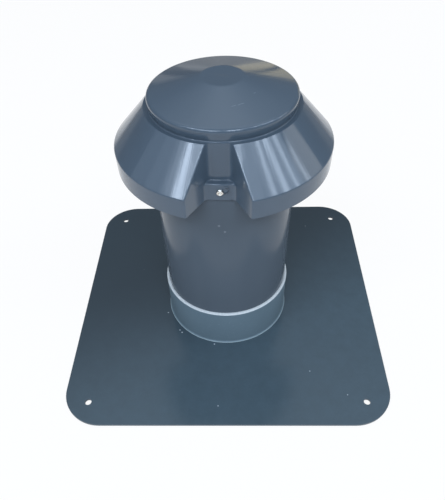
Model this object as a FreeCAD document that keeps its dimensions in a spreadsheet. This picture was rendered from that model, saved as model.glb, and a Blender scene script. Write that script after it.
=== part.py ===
"""Flat roof vent: a square plate, a short foot collar, a riser tube and a hood with three notches.

Millimetres, +Z up. The origin is the centre of the plate's underside, and the front is at -Y.
The hood is one thin shell. Air rises inside the tube, turns over its top end under the crown and
leaves downwards through the three lobes between the notches.
"""
import FreeCAD, Part
import math
import os
import Sketcher

doc = FreeCAD.newDocument("flat_roof_vent")
Vector = FreeCAD.Vector

# Driving dimensions, in millimetres and degrees
dims = doc.addObject("Spreadsheet::Sheet", "dims")
DIMENSIONS = {
    # square plate with rounded corners, a round opening and four nail holes
    "plate_side": 400,
    "plate_thickness": 3,
    "plate_corner_radius": 48,
    "plate_hole_inset": 30.2,
    "plate_hole_diameter": 8,
    # short length of pipe that holds the riser tube on the plate
    "collar_diameter": 160,
    "collar_wall": 3.2,
    "collar_height": 57,
    "collar_bevel": 1.6,
    "bead_width": 1.6,
    # riser tube, which is also the air duct; it slides into the collar
    "tube_clearance": 0.1,
    "tube_wall": 3.2,
    "tube_length": 245.5,
    # hood: heights above its trimmed lower edge, and distances from the tube's outside
    "hood_wall": 3,
    "rim_reach": 34.9,
    "rim_height": 19.7,
    "shoulder_reach": 0.6,
    "shoulder_rise": 55.6,
    "foot_set_in": 5.1,
    "foot_rise": 54.9,
    "disc_set_in": 3.1,
    "disc_rise": 66.4,
    "crown_radius": 20.5,
    "crown_rise": 79.5,
    # notch: a recess with a seat that rests on the tube's top end and a pad that laps over it
    "notch_count": 3,
    "notch_mouth_width": 60.5,
    "notch_splay": 30,
    "pad_drop": 17.5,
    "pad_clearance": 0.2,
    "pad_crease": 10,
    "corner_round": 6,
    "hood_turn": -2,
    # rounded edges of the hood
    "outer_round": 1.8,
    "foot_round": 1,
    "disc_round": 3.4,
    "crown_round": 12,
    "seat_round": 1.5,
    # pan-head screws with a cross recess
    "screw_drop": 8.5,
    "screw_diameter": 3.9,
    "screw_length": 13,
    "screw_tip_length": 3,
    "screw_head_diameter": 7.2,
    "screw_head_height": 2.4,
    "head_round": 1.5,
    "recess_span": 4,
    "recess_width": 1,
    "recess_depth": 1.4,
}
for row, (alias, number) in enumerate(DIMENSIONS.items(), start=1):
    dims.set("A%d" % row, alias)
    dims.set("B%d" % row, str(number))
    dims.setAlias("B%d" % row, alias)
doc.recompute()


def value(expression):
    """Number that an expression in the sheet's names gives."""
    result = dims.evalExpression(expression)
    return float(getattr(result, "Value", result))


def new_body(name):
    """Empty body whose label names the file of the piece."""
    body = doc.addObject("PartDesign::Body", name)
    body.Label = name
    return body


def origin_part(body, role):
    """Plane or axis of the body's own origin."""
    return next(item for item in body.Origin.OriginFeatures if item.Role == role)


def sketch_on(body, name, role, lift=None):
    """Sketch on an origin plane, lifted along the plane's normal by an expression."""
    sketch = body.newObject("Sketcher::SketchObject", name)
    sketch.AttachmentSupport = [(origin_part(body, role), "")]
    sketch.MapMode = "FlatFace"
    if lift:
        sketch.setExpression("AttachmentOffset.Base.z", lift)
    return sketch


def bind(sketch, kind, geometry, expression):
    """Dimension of a sketch held to an expression, such as a radius or a distance."""
    index = sketch.addConstraint(Sketcher.Constraint(kind, *geometry, value(expression)))
    sketch.setExpression("Constraints[%d]" % index, expression)


def place_point(sketch, geometry, end, x, y):
    """Holds one end of a line or arc at x, y, both given as expressions."""
    for kind, axis, expression in (("DistanceX", -2, x), ("DistanceY", -1, y)):
        number = value(expression)
        if abs(number) < 1e-9:
            sketch.addConstraint(Sketcher.Constraint("PointOnObject", geometry, end, axis))
            continue
        ends = (-1, 1, geometry, end) if number > 0 else (geometry, end, -1, 1)
        bound = expression if number > 0 else "-(%s)" % expression
        index = sketch.addConstraint(Sketcher.Constraint(kind, *ends, abs(number)))
        sketch.setExpression("Constraints[%d]" % index, bound)


def outline(sketch, corners):
    """Closed outline of straight lines whose corners are expressions for x and y."""
    points = [Vector(value(x), value(y), 0) for x, y in corners]
    count = len(points)
    lines = [Part.LineSegment(points[k], points[(k + 1) % count]) for k in range(count)]
    sketch.addGeometry(lines, False)
    for k in range(count):
        sketch.addConstraint(Sketcher.Constraint("Coincident", k, 2, (k + 1) % count, 1))
    for k, (x, y) in enumerate(corners):
        place_point(sketch, k, 1, x, y)


def circle(sketch, diameter, x="0", y="0"):
    """Circle of a bound diameter with its centre held at x, y."""
    centre = Vector(value(x), value(y), 0)
    geometry = sketch.addGeometry(Part.Circle(centre, Vector(0, 0, 1), value(diameter) / 2), False)
    if value(x) == 0 and value(y) == 0:
        sketch.addConstraint(Sketcher.Constraint("Coincident", geometry, 3, -1, 1))
    else:
        place_point(sketch, geometry, 3, x, y)
    bind(sketch, "Diameter", (geometry,), diameter)


def feature(body, kind, name, sketch, **settings):
    """Pad or pocket of a sketch; its length is given as an expression."""
    made = body.newObject("PartDesign::" + kind, name)
    made.Profile = sketch
    for key, setting in settings.items():
        if key == "Length":
            made.setExpression(key, setting)
        else:
            setattr(made, key, setting)
    doc.recompute()
    return made


def revolve(body, name, sketch):
    """Full turn of a profile about the body's upright axis."""
    made = body.newObject("PartDesign::Revolution", name)
    made.Profile = sketch
    made.ReferenceAxis = (origin_part(body, "Z_Axis"), [""])
    made.Angle = 360
    doc.recompute()
    return made


def polar(body, name, originals, count):
    """Copies of features around the upright axis; the pattern becomes the body's result."""
    pattern = body.newObject("PartDesign::PolarPattern", name)
    pattern.Originals = originals
    pattern.Axis = (origin_part(body, "Z_Axis"), [""])
    pattern.Angle = 360
    pattern.setExpression("Occurrences", count)
    body.Tip = pattern
    doc.recompute()
    return pattern


def edges_where(shape, test):
    """Names of the edges for which the test holds."""
    return ["Edge%d" % (k + 1) for k, edge in enumerate(shape.Edges) if test(edge)]


def fillet(body, name, base, test, radius):
    """Rounds the edges of base for which the test holds."""
    made = body.newObject("PartDesign::Fillet", name)
    made.Base = (base, edges_where(base.Shape, test))
    made.setExpression("Radius", radius)
    doc.recompute()
    return made


def middle_of(edge):
    """Point half way along an edge."""
    return edge.valueAt((edge.FirstParameter + edge.LastParameter) / 2)


def radius_of(point):
    """Distance of a point from the upright axis."""
    return math.hypot(point.x, point.y)


def lies_at(edge, radius, height):
    """True for an edge about the upright axis at a given radius and height."""
    spots = [vertex.Point for vertex in edge.Vertexes] + [middle_of(edge)]
    return all(abs(radius_of(p) - radius) < 0.3 and abs(p.z - height) < 0.3 for p in spots)


def is_sharp(shape, edge):
    """True where the two faces at an edge don't run smoothly into each other."""
    spot = middle_of(edge)
    faces = shape.ancestorsOfType(edge, Part.Face)
    normals = [face.normalAt(*face.Surface.parameter(spot)) for face in faces]
    return len(normals) == 2 and normals[0].getAngle(normals[1]) > math.radians(6)


# Sizes that follow from the dimensions, outward from the tube and upward from the plate
COLLAR_OUT = "(dims.collar_diameter / 2)"
COLLAR_IN = "(%s - dims.collar_wall)" % COLLAR_OUT
COLLAR_TOP = "(dims.plate_thickness + dims.collar_height)"
TUBE_OUT = "(%s - dims.tube_clearance)" % COLLAR_IN
TUBE_IN = "(%s - dims.tube_wall)" % TUBE_OUT
TUBE_TOP = "(dims.plate_thickness + dims.tube_length)"
SEAT = "(%s + dims.hood_wall)" % TUBE_TOP
TRIM = "(%s - dims.pad_drop)" % SEAT
PAD = "(%s + dims.pad_clearance + dims.hood_wall)" % TUBE_OUT
RIM = "(%s + dims.rim_reach)" % TUBE_OUT
SCREW_AXIS = "(%s - dims.screw_drop)" % SEAT

# Base plate: one flat sheet that the roof covering is dressed over and that is nailed or screwed
# down through its four corner holes
base_plate = new_body("base_plate")
plate_sketch = sketch_on(base_plate, "plate_outline", "XY_Plane")
HALF = "dims.plate_side / 2"
outline(plate_sketch, [("-" + HALF, "-" + HALF), (HALF, "-" + HALF), (HALF, HALF), ("-" + HALF, HALF)])
plate_pad = feature(base_plate, "Pad", "plate_sheet", plate_sketch, Length="dims.plate_thickness")
plate_corners = fillet(
    base_plate,
    "plate_corners",
    plate_pad,
    lambda edge: abs(edge.Vertexes[0].Point.z - edge.Vertexes[-1].Point.z) > 1,
    "dims.plate_corner_radius",
)
opening_sketch = sketch_on(base_plate, "plate_opening_outline", "XY_Plane")
circle(opening_sketch, "2 * " + TUBE_IN)
plate_opening = feature(
    base_plate, "Pocket", "plate_opening", opening_sketch, Type="ThroughAll", Midplane=True
)
hole_sketch = sketch_on(base_plate, "plate_hole_outline", "XY_Plane")
HOLE_AT = HALF + " - dims.plate_hole_inset"
circle(hole_sketch, "dims.plate_hole_diameter", HOLE_AT, HOLE_AT)
plate_hole = feature(base_plate, "Pocket", "plate_hole", hole_sketch, Type="ThroughAll", Midplane=True)
plate_holes = polar(base_plate, "plate_holes", [plate_hole], "4")

# Foot collar: a short pipe bonded on the plate, with a bevelled top edge and the thin bead of
# cement that is left around its foot
foot_collar = new_body("foot_collar")
collar_sketch = sketch_on(foot_collar, "collar_profile", "XZ_Plane")
outline(collar_sketch, [
    (COLLAR_IN, "dims.plate_thickness"),
    (COLLAR_OUT + " + dims.bead_width", "dims.plate_thickness"),
    (COLLAR_OUT, "dims.plate_thickness + dims.bead_width"),
    (COLLAR_OUT, COLLAR_TOP + " - dims.collar_bevel"),
    (COLLAR_OUT + " - dims.collar_bevel", COLLAR_TOP),
    (COLLAR_IN, COLLAR_TOP),
])
revolve(foot_collar, "collar_ring", collar_sketch)

# Riser tube: stands on the plate around its opening, inside the collar, and carries the hood on
# its top end; three pilot holes take the hood's screws
riser_tube = new_body("riser_tube")
tube_sketch = sketch_on(riser_tube, "tube_section", "XY_Plane", "dims.plate_thickness")
circle(tube_sketch, "2 * " + TUBE_OUT)
circle(tube_sketch, "2 * " + TUBE_IN)
feature(riser_tube, "Pad", "tube_wall_length", tube_sketch, Length="dims.tube_length")
pilot_sketch = sketch_on(riser_tube, "pilot_outline", "XZ_Plane")
circle(pilot_sketch, "dims.screw_diameter + 0.2", "0", SCREW_AXIS)
pilot_hole = feature(
    riser_tube, "Pocket", "pilot_hole", pilot_sketch, Length="dims.collar_diameter", Reversed=True
)
polar(riser_tube, "pilot_holes", [pilot_hole], "dims.notch_count")

# Hood: the outer form is turned, its three notches are cut and its edges rounded; the space inside
# is a second form of the same kind, one wall smaller all round, that is then taken out of it
RIM_TOP = "(%s + dims.rim_height)" % TRIM
SHOULDER = "(%s + dims.shoulder_reach)" % TUBE_OUT
SHOULDER_HEIGHT = "(%s + dims.shoulder_rise)" % TRIM
FOOT = "(%s - dims.foot_set_in)" % TUBE_OUT
FOOT_HEIGHT = "(%s + dims.foot_rise)" % TRIM
DISC = "(%s - dims.disc_set_in)" % TUBE_OUT
DISC_HEIGHT = "(%s + dims.disc_rise)" % TRIM
CROWN_HEIGHT = "(%s + dims.crown_rise)" % TRIM


def slope(low_radius, low_height, high_radius, high_height):
    """Direction that a face of the half section looks in, between its lower and upper corner."""
    run = "(%s - %s)" % (low_radius, high_radius)
    rise = "(%s - %s)" % (high_height, low_height)
    return "atan2(%s; %s)" % (run, rise)


SKIRT_LEAN = slope(RIM, RIM_TOP, SHOULDER, SHOULDER_HEIGHT)
LEDGE_LEAN = slope(SHOULDER, SHOULDER_HEIGHT, FOOT, FOOT_HEIGHT)
STEP_LEAN = slope(FOOT, FOOT_HEIGHT, DISC, DISC_HEIGHT)
CROWN_LEAN = slope(DISC, DISC_HEIGHT, "dims.crown_radius", CROWN_HEIGHT)
# corners of the hood's half section: radius, height and the directions that the faces below and
# above the corner look in
HOOD_CORNERS = [
    (RIM, RIM_TOP, "0 deg", SKIRT_LEAN),
    (SHOULDER, SHOULDER_HEIGHT, SKIRT_LEAN, LEDGE_LEAN),
    (FOOT, FOOT_HEIGHT, LEDGE_LEAN, STEP_LEAN),
    (DISC, DISC_HEIGHT, STEP_LEAN, CROWN_LEAN),
    ("dims.crown_radius", CROWN_HEIGHT, CROWN_LEAN, "90 deg"),
]


def moved_in(corner):
    """Corner of a half section moved in so that both its faces stand one wall further in."""
    across, up, below, above = corner
    share = "dims.hood_wall / (1 + cos(%s - (%s)))" % (above, below)
    return (
        "%s - %s * (cos(%s) + cos(%s))" % (across, share, below, above),
        "%s - %s * (sin(%s) + sin(%s))" % (up, share, below, above),
    )


def arc(centre, first, last):
    """Arc about centre, anticlockwise from first to last."""
    ring = Part.Circle(centre, Vector(0, 0, 1), (first - centre).Length)
    return Part.ArcOfCircle(ring, ring.parameter(first), ring.parameter(last))


def mirrored(point):
    """The same point on the other side of the notch."""
    return Vector(-point.x, point.y, 0)


def notch_plan(body, name, height, back_radius, grow, crease):
    """Plan of a notch: an arc at the back, two rounded corners and two splayed sides.

    The sides pass through the mouth's corners on the rim and run on past it. The outline stands
    off by the amount grow: nothing for the outer form, the wall for the space inside. The crease
    is the angle left between a corner's arc and its side; at zero they run into each other.
    """
    sketch = sketch_on(body, name, "XY_Plane", height)
    back = "%s - %s" % (back_radius, grow)
    turn = "dims.corner_round + %s" % grow
    half_mouth = "dims.notch_mouth_width / 2 + %s / cos(dims.notch_splay)" % grow
    depth = "sqrt(pow(%s; 2) - pow(dims.notch_mouth_width / 2; 2))" % RIM
    reach = "(%s + 20)" % RIM
    far = "%s + (%s - %s) * tan(dims.notch_splay)" % (half_mouth, reach, depth)
    stand_off = "(%s) * cos(%s)" % (turn, crease)
    splay = math.radians(value("dims.notch_splay"))
    # the corner's centre is one corner radius off the back and stands off the side
    shallow = 0.0
    deep = value(back) + value(turn)
    for _ in range(60):
        along = (shallow + deep) / 2
        side_at = value(half_mouth) + (along - value(depth)) * math.tan(splay)
        across = side_at - value(stand_off) / math.cos(splay)
        if math.hypot(across, along) > value(back) + value(turn):
            deep = along
        else:
            shallow = along
    centre = Vector(across, -along, 0)
    on_back = centre * (value(back) / (value(back) + value(turn)))
    toward_side = splay + math.radians(value(crease))
    on_side = centre + Vector(math.cos(toward_side), math.sin(toward_side), 0) * value(turn)
    corner = Vector(value(far), -value(reach), 0)
    sketch.addGeometry([
        arc(Vector(0, 0, 0), mirrored(on_back), on_back),
        arc(centre, on_side, on_back),
        Part.LineSegment(on_side, corner),
        Part.LineSegment(corner, mirrored(corner)),
        Part.LineSegment(mirrored(corner), mirrored(on_side)),
        arc(mirrored(centre), mirrored(on_back), mirrored(on_side)),
    ], False)
    meeting = "Coincident" if value(crease) else "Tangent"
    sketch.addConstraint([
        Sketcher.Constraint("Coincident", 0, 3, -1, 1),
        Sketcher.Constraint("Tangent", 0, 2, 1, 2),
        Sketcher.Constraint(meeting, 1, 1, 2, 1),
        Sketcher.Constraint("Coincident", 2, 2, 3, 1),
        Sketcher.Constraint("Coincident", 3, 2, 4, 1),
        Sketcher.Constraint(meeting, 4, 2, 5, 2),
        Sketcher.Constraint("Tangent", 5, 1, 0, 1),
    ])
    bind(sketch, "Radius", (0,), back)
    bind(sketch, "Radius", (1,), turn)
    bind(sketch, "Radius", (5,), turn)
    place_point(sketch, 3, 1, far, "-(%s)" % reach)
    place_point(sketch, 3, 2, "-(%s)" % far, "-(%s)" % reach)
    if value(crease):
        bind(sketch, "Distance", (1, 3, 2), stand_off)
        bind(sketch, "Distance", (5, 3, 4), stand_off)
    for sign, side in (("", 2), ("-", 4)):
        mark = sketch.addGeometry(Part.Point(Vector(0, 0, 0)), True)
        place_point(sketch, mark, 1, "%s(%s)" % (sign, half_mouth), "-(%s)" % depth)
        sketch.addConstraint(Sketcher.Constraint("PointOnObject", mark, 1, side))
    doc.recompute()
    return sketch


def cut_notches(body, prefix, seat, grow):
    """Cuts the three notches, below the seat to the pad and above it further in to the back."""
    pad_plan = notch_plan(body, prefix + "_pad_plan", seat, PAD, grow, "dims.pad_crease")
    below = "%s - %s + 10" % (seat, TRIM)
    pad_cut = feature(body, "Pocket", prefix + "_pad_cut", pad_plan, Length=below)
    polar(body, prefix + "_pad_cuts", [pad_cut], "dims.notch_count")
    back_plan = notch_plan(body, prefix + "_back_plan", seat, TUBE_IN, grow, "0")
    above = "%s + 1.5 - %s" % (FOOT_HEIGHT, seat)
    back_cut = feature(body, "Pocket", prefix + "_back_cut", back_plan, Length=above, Reversed=True)
    return polar(body, prefix + "_back_cuts", [back_cut], "dims.notch_count")


def on_notch_outline(shape, edge):
    """True for the sharp edges round a notch and along the rim and the shoulder.

    The trimmed lower edge, the seats and the walls below them stay as they are.
    """
    spot = middle_of(edge)
    trimmed = abs(spot.z - value(TRIM)) < 0.1
    at_seat = spot.z < value(SEAT) + 2 and radius_of(spot) < value(PAD) + 10
    above_ledge = spot.z > value(FOOT_HEIGHT) - 0.2
    skipped = trimmed or at_seat or above_ledge or len(edge.Vertexes) < 2
    return not skipped and is_sharp(shape, edge)


def on_seat(edge, nearest, farthest):
    """True for an arc at the seat's height between two distances from the axis."""
    spots = [vertex.Point for vertex in edge.Vertexes] + [middle_of(edge)]
    level = all(abs(p.z - value(SEAT)) < 0.05 for p in spots)
    curved = isinstance(edge.Curve, Part.Circle)
    return level and curved and nearest < radius_of(middle_of(edge)) < farthest


hood = new_body("hood")
hood_sketch = sketch_on(hood, "hood_profile", "XZ_Plane")
outline(hood_sketch, [
    ("0", TRIM),
    (RIM, TRIM),
    *[corner[:2] for corner in HOOD_CORNERS],
    ("0", CROWN_HEIGHT),
])
hood_form = revolve(hood, "hood_form", hood_sketch)
disc_edge = fillet(
    hood,
    "disc_edge",
    hood_form,
    lambda edge: lies_at(edge, value(DISC), value(DISC_HEIGHT)),
    "dims.disc_round",
)
fillet(
    hood,
    "crown_edge",
    disc_edge,
    lambda edge: lies_at(edge, value("dims.crown_radius"), value(CROWN_HEIGHT)),
    "dims.crown_round",
)
hood_notches = cut_notches(hood, "hood", SEAT, "0")
pad_distance = value(PAD)
back_distance = value(TUBE_IN)
seat_front = fillet(
    hood,
    "seat_front",
    hood_notches,
    lambda edge: on_seat(edge, pad_distance - 0.5, pad_distance + 3),
    "dims.seat_round",
)
seat_root = fillet(
    hood,
    "seat_root",
    seat_front,
    lambda edge: on_seat(edge, back_distance - 0.5, back_distance + 3),
    "dims.seat_round",
)
notch_edges = fillet(
    hood,
    "notch_edges",
    seat_root,
    lambda edge: on_notch_outline(seat_root.Shape, edge),
    "dims.outer_round",
)
fillet(
    hood,
    "foot_edge",
    notch_edges,
    lambda edge: lies_at(edge, value(FOOT), value(FOOT_HEIGHT)),
    "dims.foot_round",
)

hood_space = new_body("hood_space")
space_sketch = sketch_on(hood_space, "space_profile", "XZ_Plane")
outline(space_sketch, [
    ("0", TRIM + " - 5"),
    (RIM + " - dims.hood_wall", TRIM + " - 5"),
    *[moved_in(corner) for corner in HOOD_CORNERS],
    ("0", CROWN_HEIGHT + " - dims.hood_wall"),
])
revolve(hood_space, "space_form", space_sketch)
cut_notches(hood_space, "space", "(%s - dims.hood_wall)" % SEAT, "dims.hood_wall")

hollow = hood.newObject("PartDesign::Boolean", "hollow")
hollow.Type = "Cut"
hollow.addObject(hood_space)
doc.recompute()
hood_hole_sketch = sketch_on(hood, "screw_hole_outline", "XZ_Plane")
circle(hood_hole_sketch, "dims.screw_diameter + 0.5", "0", SCREW_AXIS)
hood_hole = feature(
    hood, "Pocket", "screw_hole", hood_hole_sketch, Length=RIM, Reversed=True
)
polar(hood, "screw_holes", [hood_hole], "dims.notch_count")

# Hood screws: three pan-head screws with a cross recess, one in the middle of each pad, driven
# through the pad and the tube's wall
hood_screws = new_body("hood_screws")
HEAD_FRONT = "(%s + dims.screw_head_height)" % PAD
SHANK_END = "(%s - dims.screw_length)" % PAD
TIP_START = "(%s + dims.screw_tip_length)" % SHANK_END
SHANK_TOP = SCREW_AXIS + " + dims.screw_diameter / 2"
HEAD_TOP = SCREW_AXIS + " + dims.screw_head_diameter / 2"
screw_sketch = sketch_on(hood_screws, "screw_profile", "YZ_Plane")
outline(screw_sketch, [
    ("-" + HEAD_FRONT, SCREW_AXIS),
    ("-" + HEAD_FRONT, HEAD_TOP),
    ("-" + PAD, HEAD_TOP),
    ("-" + PAD, SHANK_TOP),
    ("-" + TIP_START, SHANK_TOP),
    ("-" + SHANK_END, SCREW_AXIS),
])
screw_form = hood_screws.newObject("PartDesign::Revolution", "screw_form")
screw_form.Profile = screw_sketch
screw_form.ReferenceAxis = (screw_sketch, ["Edge6"])
screw_form.Angle = 360
doc.recompute()
recess_sketch = sketch_on(hood_screws, "recess_outline", "XZ_Plane", HEAD_FRONT)
ARM = "dims.recess_span / 2"
SLOT = "dims.recess_width / 2"
CROSS = [
    (ARM, "-" + SLOT), (ARM, SLOT), (SLOT, SLOT), (SLOT, ARM), ("-" + SLOT, ARM), ("-" + SLOT, SLOT),
    ("-" + ARM, SLOT), ("-" + ARM, "-" + SLOT), ("-" + SLOT, "-" + SLOT), ("-" + SLOT, "-" + ARM),
    (SLOT, "-" + ARM), (SLOT, "-" + SLOT),
]
outline(recess_sketch, [(x, "%s + (%s)" % (SCREW_AXIS, y)) for x, y in CROSS])
recess = feature(hood_screws, "Pocket", "recess", recess_sketch, Length="dims.recess_depth")
screw_set = polar(hood_screws, "screw_set", [screw_form, recess], "dims.notch_count")
head_front_distance = value(HEAD_FRONT)
fillet(
    hood_screws,
    "head_edges",
    screw_set,
    lambda edge: isinstance(edge.Curve, Part.Circle)
    and abs(edge.Curve.Radius - value("dims.screw_head_diameter / 2")) < 0.01
    and abs(radius_of(edge.Curve.Center) - head_front_distance) < 0.01,
    "dims.head_round",
)

# The hood, its screws and the tube with the pilot holes are turned a little on the plate together
for turned in (hood, hood_screws, riser_tube):
    turned.setExpression("Placement.Rotation.Angle", "dims.hood_turn")
doc.recompute()

NODES = [base_plate, foot_collar, riser_tube, hood, hood_screws]
failed = [item.Label for item in doc.Objects if {"Invalid", "Error"} & set(item.State)]
if failed:
    raise RuntimeError("not built: " + ", ".join(failed))
os.makedirs("parts", exist_ok=True)
for node in NODES:
    if node.Shape.isNull() or not node.Shape.isValid():
        raise RuntimeError("no valid shape: " + node.Label)
    node.Shape.exportStep("parts/%s.step" % node.Label)
    box = node.Shape.BoundBox
    extent = "%.1f x %.1f x %.1f" % (box.XLength, box.YLength, box.ZLength)
    print("%-12s %d solids, %.0f mm3, %s" % (node.Label, len(node.Shape.Solids), node.Shape.Volume, extent))
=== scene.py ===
import bpy
import numpy as np
from mathutils import Matrix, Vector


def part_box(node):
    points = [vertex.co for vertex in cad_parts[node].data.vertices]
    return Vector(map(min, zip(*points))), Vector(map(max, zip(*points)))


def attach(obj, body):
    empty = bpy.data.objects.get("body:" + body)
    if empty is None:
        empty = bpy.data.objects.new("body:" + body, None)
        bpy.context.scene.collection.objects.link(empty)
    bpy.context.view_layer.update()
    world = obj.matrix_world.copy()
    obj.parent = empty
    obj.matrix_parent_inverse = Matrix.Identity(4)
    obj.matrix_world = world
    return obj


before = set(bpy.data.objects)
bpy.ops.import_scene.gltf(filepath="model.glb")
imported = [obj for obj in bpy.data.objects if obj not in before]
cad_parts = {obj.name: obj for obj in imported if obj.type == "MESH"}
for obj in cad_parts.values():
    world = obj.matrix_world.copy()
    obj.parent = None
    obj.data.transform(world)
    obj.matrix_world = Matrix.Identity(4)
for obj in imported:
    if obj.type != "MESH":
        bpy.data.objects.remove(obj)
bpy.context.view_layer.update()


# Base plate: a square sheet of rigid anthracite plastic with rounded corners, laid flat on the
# roof and held by four nails or screws. It has a fine satin grain from the calender, a thin film
# of dust, painted light that makes it paler towards the front right and painted shade over the
# rear and left, and a few light specks from handling.
class Signal:
    """Output of a shader node; operators add Math nodes and node() adds any other node."""

    def __init__(self, tree, socket):
        self.tree = tree
        self.socket = socket

    def node(self, kind, settings, inputs, output=0):
        """New node of a kind, with its settings set first and then its sockets set or linked."""
        made = self.tree.nodes.new(kind)
        for key, setting in settings.items():
            setattr(made, key, setting)
        for key, source in inputs.items():
            if isinstance(source, Signal):
                self.tree.links.new(source.socket, made.inputs[key])
            else:
                made.inputs[key].default_value = source
        return Signal(self.tree, made.outputs[output])

    def show(self, output="ShaderNodeOutputMaterial"):
        """Links this shader to the output of its own material or world."""
        made = self.tree.nodes.new(output)
        self.tree.links.new(self.socket, made.inputs["Surface"])

    def math(self, operation, first, second=0.0):
        """Math node; either input may be a number or another signal."""
        return self.node("ShaderNodeMath", {"operation": operation}, {0: first, 1: second})

    def __add__(self, other):
        return self.math("ADD", self, other)

    def __radd__(self, other):
        return self.math("ADD", other, self)

    def __sub__(self, other):
        return self.math("SUBTRACT", self, other)

    def __rsub__(self, other):
        return self.math("SUBTRACT", other, self)

    def __mul__(self, other):
        return self.math("MULTIPLY", self, other)

    def __rmul__(self, other):
        return self.math("MULTIPLY", other, self)

    def __abs__(self):
        return self.math("ABSOLUTE", self)

    def least(self, other):
        return self.math("MINIMUM", self, other)

    def most(self, other):
        return self.math("MAXIMUM", self, other)

    def vector(self, operation, inputs, output=0):
        """Vector Math node; it gives a length or a distance from its second output."""
        return self.node("ShaderNodeVectorMath", {"operation": operation}, inputs, output)

    def part(self, axis):
        """One of the three parts of a vector."""
        return self.node("ShaderNodeSeparateXYZ", {}, {"Vector": self}, "XYZ".index(axis))

    def ramp(self, low, high):
        """Smooth step from 0 at low to 1 at high; turned round where high is the smaller."""
        if high < low:
            return 1 - self.ramp(high, low)
        bounds = {"Value": self, "From Min": low, "From Max": high}
        return self.node("ShaderNodeMapRange", {"interpolation_type": "SMOOTHSTEP"}, bounds)

    def noise(self, scale, detail=2.0, roughness=0.5, stretch=(1, 1, 1)):
        """Noise around 0.5 in object space, with its grain stretched along an axis."""
        at = self.node("ShaderNodeMapping", {}, {"Vector": self, "Scale": stretch})
        return self.node("ShaderNodeTexNoise", {}, {
            "Vector": at, "Scale": scale, "Detail": detail, "Roughness": roughness})

    def near(self, spot, reach):
        """1 at a point, falling smoothly to 0 at a distance, with a ragged border."""
        gap = self.vector("DISTANCE", {0: self, 1: spot}, 1)
        ragged = gap + (self.noise(900.0) - 0.5) * reach
        return ragged.ramp(reach, reach * 0.3)

    def scratch(self, first, last, width):
        """1 on the straight line between two points, falling to 0 at the width either side.

        The share of the way along the line is the dot product with it, held between 0 and 1, and
        the mark fades with the distance from the point at that share.
        """
        run = np.array(last) - np.array(first)
        along = self.vector("SUBTRACT", {0: self, 1: first})
        share = along.vector("DOT_PRODUCT", {0: along, 1: run / (run @ run)}, 1)
        foot = along.vector("SCALE", {0: run, "Scale": share.most(0.0).least(1.0)})
        gap = along.vector("DISTANCE", {0: along, 1: foot}, 1)
        return gap.ramp(width, width * 0.2)

    def specks(self, scale, size, share):
        """Dots of a given size, scattered over a share of the cells that are scale to the metre."""
        cell = {"Vector": self, "Scale": scale}
        near = self.node("ShaderNodeTexVoronoi", {}, cell, "Distance")
        pick = self.node("ShaderNodeTexVoronoi", {}, cell, "Color")
        chance = self.node("ShaderNodeSeparateColor", {}, {"Color": pick}, "Red")
        return near.ramp(size, size * 0.5) * chance.ramp(share, share * 0.9)

    def tint(self, first, second, amount, blend="MIX"):
        """Colour that goes from first to second with amount, or gains the second with "ADD"."""
        return self.node("ShaderNodeMix", {"data_type": "RGBA", "blend_type": blend}, {
            "Factor": amount, 6: first, 7: second}, 2)

    def relief(self, height, distance, strength, normal=None):
        """Bump from a height signal over an earlier normal, if any; distance is in metres."""
        inputs = {"Height": height, "Distance": distance, "Strength": strength}
        if normal is not None:
            inputs["Normal"] = normal
        return self.node("ShaderNodeBump", {}, inputs)


def new_finish(name):
    """Empty material; gives it with the object coordinates of the piece that carries it."""
    material = bpy.data.materials.new(name)
    material.use_nodes = True
    tree = material.node_tree
    tree.nodes.clear()
    return material, Signal(tree, tree.nodes.new("ShaderNodeTexCoord").outputs["Object"])


def surface(place, **inputs):
    """Principled surface on the material's output; a socket's name is written with _ for spaces."""
    place.node("ShaderNodeBsdfPrincipled", {}, {
        key.replace("_", " "): source for key, source in inputs.items()}).show()


def dress(name, material):
    """Puts a material on every slot of a CAD piece."""
    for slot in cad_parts[name].material_slots:
        slot.material = material


PLATE_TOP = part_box("base_plate")[1].z
PLATE_DARK = (0.028, 0.039, 0.047, 1)
PLATE_PALE = (0.032, 0.045, 0.054, 1)
PLATE_DUST_AND_LIGHT = (0.085, 0.130, 0.158, 1)
SPECK_TONE = (0.55, 0.60, 0.62, 1)
SPECK_REACH = 0.0012
SPECK_SPOTS = ((-0.0825, -0.0291), (-0.0642, -0.0600), (-0.0610, -0.0640), (-0.0166, -0.0837))
PLATE_GRAIN_DEPTH = 0.00001

plate, place = new_finish("plate_finish")
cloud = place.noise(5.0, 3.0)
grain = place.noise(1500.0, 2.0, 0.6)
dust = place.noise(60.0, 6.0, 0.75)
specks = place.specks(95.0, 0.09, 0.03)
for across, along in SPECK_SPOTS:
    specks = specks.most(place.near((across, along, PLATE_TOP), SPECK_REACH))
# Painted light and shade: the pale tone grows towards the front right and is darkest at the rear
# and left, where the vent's shade falls; only a thin even part of it is dust, broken up by the dust
# noise.
painted_light_front_right = (0.6 * place.part("X") - place.part("Y")).ramp(-0.12, 0.15)
dust_and_painted_light = (0.03 + 0.37 * painted_light_front_right) * (0.6 + 0.8 * dust)
colour = place.tint(PLATE_DARK, PLATE_PALE, cloud)
colour = place.tint(colour, PLATE_DUST_AND_LIGHT, dust_and_painted_light)
colour = place.tint(colour, SPECK_TONE, specks * 0.7)
surface(
    place,
    Base_Color=colour,
    Roughness=0.14 + 0.12 * dust,
    IOR=1.36,
    Normal=place.relief(grain, PLATE_GRAIN_DEPTH, 0.5),
)
dress("base_plate", plate)

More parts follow.
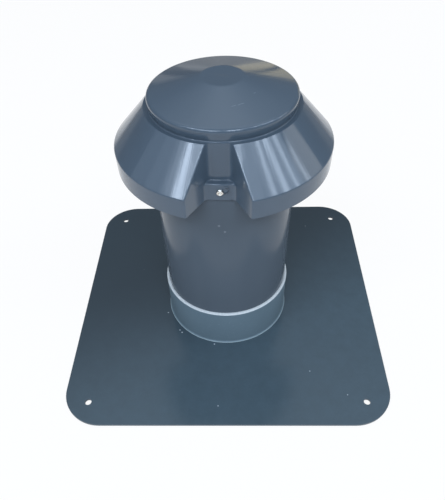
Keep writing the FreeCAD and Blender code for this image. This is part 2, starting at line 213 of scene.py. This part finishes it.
# Foot collar: a short length of 160 mm pipe in rigid grey plastic, sawn and bevelled at its top
# and bonded to the plate. The cut bevel and the bead of cement round its foot are paler.
COLLAR_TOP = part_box("foot_collar")[1].z
PALE_FROM = COLLAR_TOP - 0.0018
PALE_FULL = COLLAR_TOP - 0.0014
BEAD_FULL = PLATE_TOP + 0.0003
BEAD_END = PLATE_TOP + 0.0008
COLLAR_DARK = (0.116, 0.161, 0.186, 1)
COLLAR_PALE = (0.134, 0.183, 0.209, 1)
COLLAR_SCUFF = (0.20, 0.26, 0.29, 1)
CUT_PLASTIC = (0.56, 0.57, 0.56, 1)
CEMENT = (0.27, 0.33, 0.34, 1)
COLLAR_GRAIN_DEPTH = 0.0001

collar, place = new_finish("collar_finish")
height = place.part("Z")
bevel = height.ramp(PALE_FROM, PALE_FULL)
bead = height.ramp(BEAD_END, BEAD_FULL)
dull = place.noise(320.0, 4.0, 0.7)
blot = place.noise(26.0, 3.0)
colour = place.tint(COLLAR_DARK, COLLAR_PALE, blot)
colour = place.tint(colour, COLLAR_SCUFF, dull.ramp(0.5, 0.8) * 0.35)
colour = place.tint(colour, CUT_PLASTIC, bevel * (0.55 + 0.6 * dull))
colour = place.tint(colour, CEMENT, bead * 0.8)
surface(
    place,
    Base_Color=colour,
    Roughness=0.42 + 0.18 * dull + 0.3 * bevel,
    IOR=1.33,
    Normal=place.relief(dull, COLLAR_GRAIN_DEPTH, 0.5),
)
dress("foot_collar", collar)

# Riser tube: an extruded pipe of rigid plastic with a smooth gloss, pushed into the collar down to
# the plate. The die leaves very faint lines along it, and handling leaves a few fine marks.
TUBE_DARK = (0.080, 0.096, 0.112, 1)
TUBE_PALE = (0.090, 0.107, 0.124, 1)
TUBE_MARK = (0.26, 0.28, 0.30, 1)
MARK_REACH = 0.0018
MARK_SPOTS = ((-0.0050, -0.0765, 0.1994), (0.0009, -0.0767, 0.1915))
DIE_STRETCH = (1, 1, 0.012)
DIE_LINE_DEPTH = 0.000004

tube, place = new_finish("tube_finish")
lines = place.noise(420.0, 3.0, 0.6, DIE_STRETCH)
haze = place.noise(14.0, 3.0)
marks = place.specks(160.0, 0.07, 0.02)
for spot in MARK_SPOTS:
    marks = marks.most(place.near(spot, MARK_REACH))
colour = place.tint(TUBE_DARK, TUBE_PALE, haze)
colour = place.tint(colour, TUBE_MARK, marks * 0.5)
surface(
    place,
    Base_Color=colour,
    Roughness=0.12 + 0.06 * haze,
    IOR=1.22,
    Normal=place.relief(lines, DIE_LINE_DEPTH, 0.3),
)
dress("riser_tube", tube)

# Hood: one moulded shell of glossy slate-grey plastic. Its seats rest on the tube's end, and the
# moulding leaves a slight waviness in the gloss. It carries a few fine scratches.
HOOD_DARK = (0.061, 0.084, 0.109, 1)
HOOD_PALE = (0.071, 0.096, 0.122, 1)
SCRATCH_TONE = (0.30, 0.35, 0.40, 1)
SCRATCH_WIDTH = 0.00022
SCRATCHES = (
    ((0.0085, -0.0452, 0.3071), (0.0122, -0.0438, 0.3073)),
    ((0.0142, -0.0432, 0.3074), (0.0196, -0.0402, 0.3075)),
    ((0.0268, -0.0268, 0.3089), (0.0306, -0.0247, 0.3090)),
    ((-0.0290, -0.0860, 0.2600), (-0.0245, -0.0905, 0.2560)),
    ((0.0158, -0.0825, 0.2632), (0.0215, -0.0870, 0.2668)),
)
DRAW_DEPTH = 0.00016
PEEL_DEPTH = 0.000012

hood, place = new_finish("hood_finish")
flat = place.vector("MULTIPLY", {0: place, 1: (1, 1, 0)})
outward = flat.vector("NORMALIZE", {0: flat})
draw = outward.noise(16.0, 3.0, 0.6)
peel = place.noise(600.0, 2.0, 0.5)
haze = place.noise(9.0, 4.0, 0.6)
scratches = place.scratch(*SCRATCHES[0], SCRATCH_WIDTH)
for first, last in SCRATCHES[1:]:
    scratches = scratches.most(place.scratch(first, last, SCRATCH_WIDTH))
colour = place.tint(HOOD_DARK, HOOD_PALE, haze)
colour = place.tint(colour, SCRATCH_TONE, scratches * 0.45)
surface(
    place,
    Base_Color=colour,
    Roughness=0.08 + 0.06 * haze + 0.25 * scratches,
    Normal=place.relief(peel, PEEL_DEPTH, 0.5, place.relief(draw, DRAW_DEPTH, 0.5)),
)
dress("hood", hood)

# Hood screws: pan-head screws of stainless steel with a cross recess, one in each pad. They hold
# the hood to the tube's wall.
STEEL_DARK = (0.62, 0.60, 0.56, 1)
STEEL_PALE = (0.80, 0.79, 0.76, 1)

steel, place = new_finish("steel_finish")
brush = place.noise(2500.0, 2.0)
surface(
    place,
    Base_Color=place.tint(STEEL_DARK, STEEL_PALE, brush),
    Metallic=1.0,
    Roughness=0.18 + 0.14 * brush,
)
dress("hood_screws", steel)

# Swarf curl: a thin ribbon of the hood's own plastic that the screw has cut. It starts beside the
# front screw's head, lies on the pad and curls up and back towards the head.
CURL_MIDDLE = np.array((0.0024, 0.0, 0.2464))
CURL_START = np.radians(-104)
CURL_SWEEP = np.radians(262)
CURL_REACH = 0.0051
CURL_SHRINK = 0.27
CURL_FRONT = -0.0805
CURL_LEAN = 0.0016
RIBBON_WIDE = 0.00056
RIBBON_THIN = 0.00024
RIBBON_TAPER = 0.55
RIBBON_TWIST = np.radians(50)
SWARF_DARK = (0.030, 0.036, 0.044, 1)
SWARF_TORN = (0.26, 0.30, 0.34, 1)
TORN_DEPTH = 0.0001


def grid_mesh(name, points, capped=()):
    """Mesh of rings of points, rings by points by three, with one quad between neighbours.

    A ring closes on itself, and a capped ring is filled with one face of its own.
    """
    rings, sides = points.shape[:2]
    index = np.arange(rings * sides).reshape(rings, sides)
    beside = np.roll(index, -1, axis=1)
    quads = np.stack([index[:-1], beside[:-1], beside[1:], index[1:]], axis=-1).reshape(-1, 4)
    caps = [index[ring].tolist()[::-1 if ring == 0 else 1] for ring in capped]
    mesh = bpy.data.meshes.new(name)
    mesh.from_pydata(points.reshape(-1, 3).tolist(), [], quads.tolist() + caps)
    piece = bpy.data.objects.new(name, mesh)
    bpy.context.scene.collection.objects.link(piece)
    return piece


def curl_points(along, around):
    """Rings of an oval section carried along a spiral in front of the pad.

    The angle goes evenly from its start through its sweep. The spiral's reach shrinks by an equal
    share for each degree, and its middle leans away from the pad with the way along to the power
    of 1.5. The oval turns evenly with the way along and grows slimmer with the cube of it.
    """
    along = along[:, None]
    angle = CURL_START + CURL_SWEEP * along
    outward = np.stack([np.cos(angle), 0 * angle, np.sin(angle)], axis=-1)
    middle = CURL_MIDDLE + (CURL_REACH * CURL_SHRINK ** along)[..., None] * outward
    middle[..., 1] = CURL_FRONT - CURL_LEAN * along ** 1.5
    slim = 1 - RIBBON_TAPER * along ** 3
    wide = RIBBON_WIDE * slim * np.cos(around)
    thin = RIBBON_THIN * slim * np.sin(around)
    twist = RIBBON_TWIST * along
    across = wide * np.sin(twist) + thin * np.cos(twist)
    forward = thin * np.sin(twist) - wide * np.cos(twist)
    return middle + across[..., None] * outward + forward[..., None] * np.array((0.0, 1.0, 0.0))


curl = grid_mesh(
    "swarf_curl",
    curl_points(np.linspace(0, 1, 48), np.linspace(0, 2 * np.pi, 14, endpoint=False)),
    capped=(0, -1),
)
curl.data.shade_smooth()
chip, place = new_finish("swarf_finish")
torn = place.noise(2600.0, 3.0, 0.7)
surface(
    place,
    Base_Color=place.tint(SWARF_DARK, SWARF_TORN, torn.ramp(0.45, 0.7)),
    Roughness=0.3 + 0.4 * torn,
    Normal=place.relief(torn, TORN_DEPTH, 0.6),
)
curl.data.materials.append(chip)
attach(curl, "root")

# Floor: a plain pale disc just under the plate, wide enough to fill every view. Eyes and mirrors
# see it nearly white, and its outer part fades into the room's grey.
FLOOR_RINGS = (0.001, 0.4, 1.0, 1.6, 2.2, 3.0)
FLOOR_HEIGHT = -0.0006
FADE_START = 1.6
FADE_END = 2.9
PAPER = (0.80, 0.80, 0.80, 1)
WHITE = (1, 1, 1, 1)
FAR_GREY = (0.30, 0.30, 0.30, 1)
GLOW_SHARE = 0.9


def disc_points(radius, turn):
    """Circles at the floor's height: each radius at each turn, which runs backwards to face up."""
    return np.stack([
        radius * np.cos(turn),
        radius * np.sin(turn),
        np.full((radius.size, turn.size), FLOOR_HEIGHT),
    ], axis=-1)


floor = grid_mesh(
    "floor",
    disc_points(np.array(FLOOR_RINGS)[:, None], np.linspace(2 * np.pi, 0, 96, endpoint=False)),
    capped=(0,),
)
paper, place = new_finish("floor_paper")
far = place.vector("LENGTH", {0: place}, 1).ramp(FADE_START, FADE_END)
matt = place.node("ShaderNodeBsdfDiffuse", {}, {"Color": place.tint(PAPER, FAR_GREY, far)})
glow = place.node("ShaderNodeEmission", {}, {
    "Color": place.tint(WHITE, FAR_GREY, far), "Strength": 1.0})
eye, mirror, glass = (
    place.node("ShaderNodeLightPath", {}, {}, "Is %s Ray" % kind)
    for kind in ("Camera", "Glossy", "Transmission")
)
lift = eye.most(mirror).most(glass) * GLOW_SHARE
place.node("ShaderNodeMixShader", {}, {0: lift, 1: matt, 2: glow}).show()
floor.data.materials.append(paper)

# Light: a plain grey room, paler overhead, with windows of daylight in front and at both sides and
# a few low strips of warm and grey light behind the vent.
DAYLIGHT = (0.90, 1.00, 1.10)
WINDOW = (0.84, 1.00, 1.22)
SAND = (1.00, 0.86, 0.52)
STONE = (1.00, 1.00, 0.98)
LOW_GREY = (0.12, 0.115, 0.11, 1)
ROOM_GREY = (0.16, 0.175, 0.195, 1)
SKY_RADIANCE = 0.57
SKY_FRONT_SHARE = 0.25
CEILING_RADIANCE = 0.5
HOOD_MIDDLE = np.array((0.0, 0.0, 0.25))
WINDOW_DISTANCE = 6.0
# each window: turn from the front, height above the horizon, width and height, and radiance
LEFT_WINDOWS = (
    (-54, 46.5, 9, 15, 8.4),
    (-52, 46.0, 19, 15, 4.4),
    (-65, 41.0, 9, 9, 1.6),
    (-63, 25.0, 8, 12, 2.5),
    (-68, 40.5, 12, 15, 1.1),
    (-81, 35.0, 14, 16, 0.8),
    (-96, 27.0, 16, 17, 0.45),
)
FRONT_WINDOWS = ((-24, 43.5, 32, 28, 4.9), (19, 43.5, 22, 28, 4.9), (0, 45.0, 50, 4, 10.0))
RIGHT_WINDOWS = ((38, 49.5, 20, 17, 2.3), (58, 44.0, 20, 19, 2.3), (79, 35.5, 22, 22, 2.3))
RIGHT_BARS = (
    (57, 45.5, 5, 14, 6.0),
    (69.5, 39.0, 6, 18, 6.0),
    (81.5, 33.5, 4, 19, 5.0),
    (93.0, 24.5, 4, 13, 4.0),
)
RIGHT_WALL = (101, 24.0, 22, 17, 1.5)
# each strip behind the vent: turn from the front, width and radiance
SAND_STRIPS = ((144, 5, 0.45), (151, 6, 0.75), (158, 4, 0.5), (165, 7, 0.8), (174, 8, 0.65))
STONE_STRIPS = ((-174, 9, 0.25), (-163, 4, 0.3), (-155, 2, 0.4))
STRIP_RISE = 7.5
STRIP_HIGH = 14


def between(angle, first, last, edge):
    """1 between two angles, with an edge that fades over so many degrees either side of them."""
    return angle.ramp(first - edge, first + edge) * angle.ramp(last + edge, last - edge)


def add_glow(light, area, radiance, tone):
    """Light with a glow added: its tone times its radiance, over an area between 0 and 1."""
    colour = (*(radiance * part for part in tone), 1)
    return light.tint(light, colour, area, "ADD")


def facing(turn, height):
    """Right, up and backward directions of what looks at the vent from a turn and a height.

    The turn goes round from the front and the height up from the horizon, both in radians.
    """
    right = np.array((np.cos(turn), np.sin(turn), 0.0))
    back = np.array((np.sin(turn) * np.cos(height), -np.cos(turn) * np.cos(height), np.sin(height)))
    return right, np.cross(back, right), back


def stand(name, data, right, up, back, spot):
    """Lamp or camera at a spot, set by its own three directions."""
    item = bpy.data.objects.new(name, data)
    rows = np.column_stack([right, up, back, spot]).tolist()
    item.matrix_world = Matrix(rows + [[0, 0, 0, 1]])
    bpy.context.scene.collection.objects.link(item)
    return item


def add_window(turn, height, wide, high, radiance, tone=WINDOW):
    """Area lamp that faces the hood.

    Its place is a turn from the front and a height above the horizon, and its size two angles as
    seen from the hood, all in degrees. Its power is its radiance times pi times its area.
    """
    turn, height, wide, high = np.radians((turn, height, wide, high))
    window = bpy.data.lights.new("window", "AREA")
    window.shape = "RECTANGLE"
    window.size = 2 * WINDOW_DISTANCE * np.tan(wide * np.cos(height) / 2)
    window.size_y = 2 * WINDOW_DISTANCE * np.tan(high / 2)
    window.energy = radiance * np.pi * window.size * window.size_y
    window.color = tone
    right, up, back = facing(turn, height)
    stand("window", window, right, up, back, HOOD_MIDDLE + WINDOW_DISTANCE * back)


world = bpy.data.worlds.new("studio")
bpy.context.scene.world = world
world.use_nodes = True
world.node_tree.nodes.clear()
toward = Signal(
    world.node_tree, world.node_tree.nodes.new("ShaderNodeTexCoord").outputs["Object"])
turned = toward.math("ARCTAN2", toward.part("X"), 0 - toward.part("Y")) * (180 / np.pi)
rise = toward.math("ARCSINE", toward.part("Z")) * (180 / np.pi)
rear = abs(turned).ramp(80, 120)
light = toward.tint(FAR_GREY, LOW_GREY, rise.ramp(0, 6))
light = toward.tint(light, ROOM_GREY, rise.ramp(14, 22))
sky = rise.ramp(26, 60) * (SKY_FRONT_SHARE + (1 - SKY_FRONT_SHARE) * rear)
light = add_glow(light, sky, SKY_RADIANCE, DAYLIGHT)
light = add_glow(light, between(rise, 54, 80, 6) * rear, CEILING_RADIANCE, DAYLIGHT)
toward.node("ShaderNodeBackground", {}, {"Color": light, "Strength": 1.0}).show(
    "ShaderNodeOutputWorld")
for window in LEFT_WINDOWS + FRONT_WINDOWS + RIGHT_WINDOWS + RIGHT_BARS:
    add_window(*window)
add_window(*RIGHT_WALL, STONE)
for turn, wide, radiance in SAND_STRIPS:
    add_window(turn, STRIP_RISE, wide, STRIP_HIGH, radiance, SAND)
for turn, wide, radiance in STONE_STRIPS:
    add_window(turn, STRIP_RISE, wide, STRIP_HIGH, radiance, STONE)

# Camera: looks down on the front at the photograph's angle, from a little to the right and with a
# slight roll. Its lens and its shift give the photograph's frame.
CAMERA_TURN = 0.0439
CAMERA_RISE = 0.9033
CAMERA_ROLL = -0.0403
CAMERA_DISTANCE = 0.723264
LOOKED_AT = np.array((-0.009774, 0.0, -0.0518355))
LENS_LENGTH = 34.015
LENS_SHIFT = (0.0022, 0.1401)

level, upright, back = facing(CAMERA_TURN, CAMERA_RISE)
right = np.cos(CAMERA_ROLL) * level + np.sin(CAMERA_ROLL) * upright
up = np.cos(CAMERA_ROLL) * upright - np.sin(CAMERA_ROLL) * level
lens = bpy.data.cameras.new("camera")
lens.lens = LENS_LENGTH
lens.shift_x, lens.shift_y = LENS_SHIFT
camera = stand("camera", lens, right, up, back, LOOKED_AT + CAMERA_DISTANCE * back)
bpy.context.scene.camera = camera
bpy.context.scene.view_settings.view_transform = "Standard"
